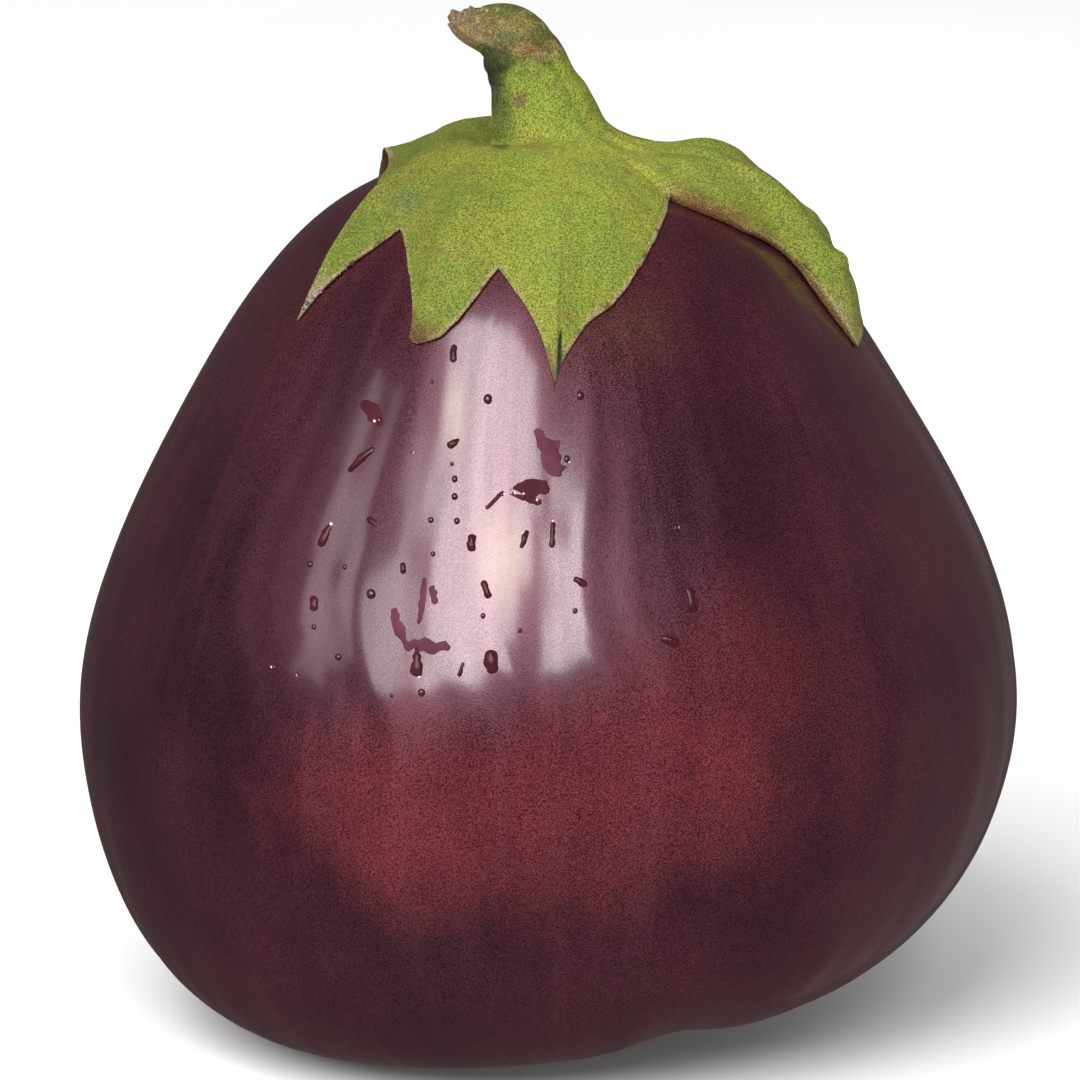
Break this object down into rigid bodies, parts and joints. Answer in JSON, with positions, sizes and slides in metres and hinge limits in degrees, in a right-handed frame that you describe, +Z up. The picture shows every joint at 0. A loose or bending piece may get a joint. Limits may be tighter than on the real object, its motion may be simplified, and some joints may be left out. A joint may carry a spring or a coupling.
{
  "type": "eggplant",
  "caption": "Squat globe eggplant with glossy dark purple skin, a green calyx of pointed sepals over its crown and a short hooked stem with a ragged cut end.",
  "frame": {"origin": "middle of the object's box at the surface that it rests on", "axes": "+Z up through the crown, -Y towards the side seen in the picture, +X to the right of it; the stem's hook points to -X"},
  "size_m": [0.1202, 0.1202, 0.1316],
  "materials": {
    "purple_skin": "waxy plant skin, glossy, near-black purple with a reddish glow",
    "green_calyx": "matte, slightly downy plant tissue, yellow-green with brown edges and a brown cut end"
  },
  "bodies": {
    "root": {"fruit": "purple_skin", "calyx_and_stem": "green_calyx"}
  },
  "joints": []
}
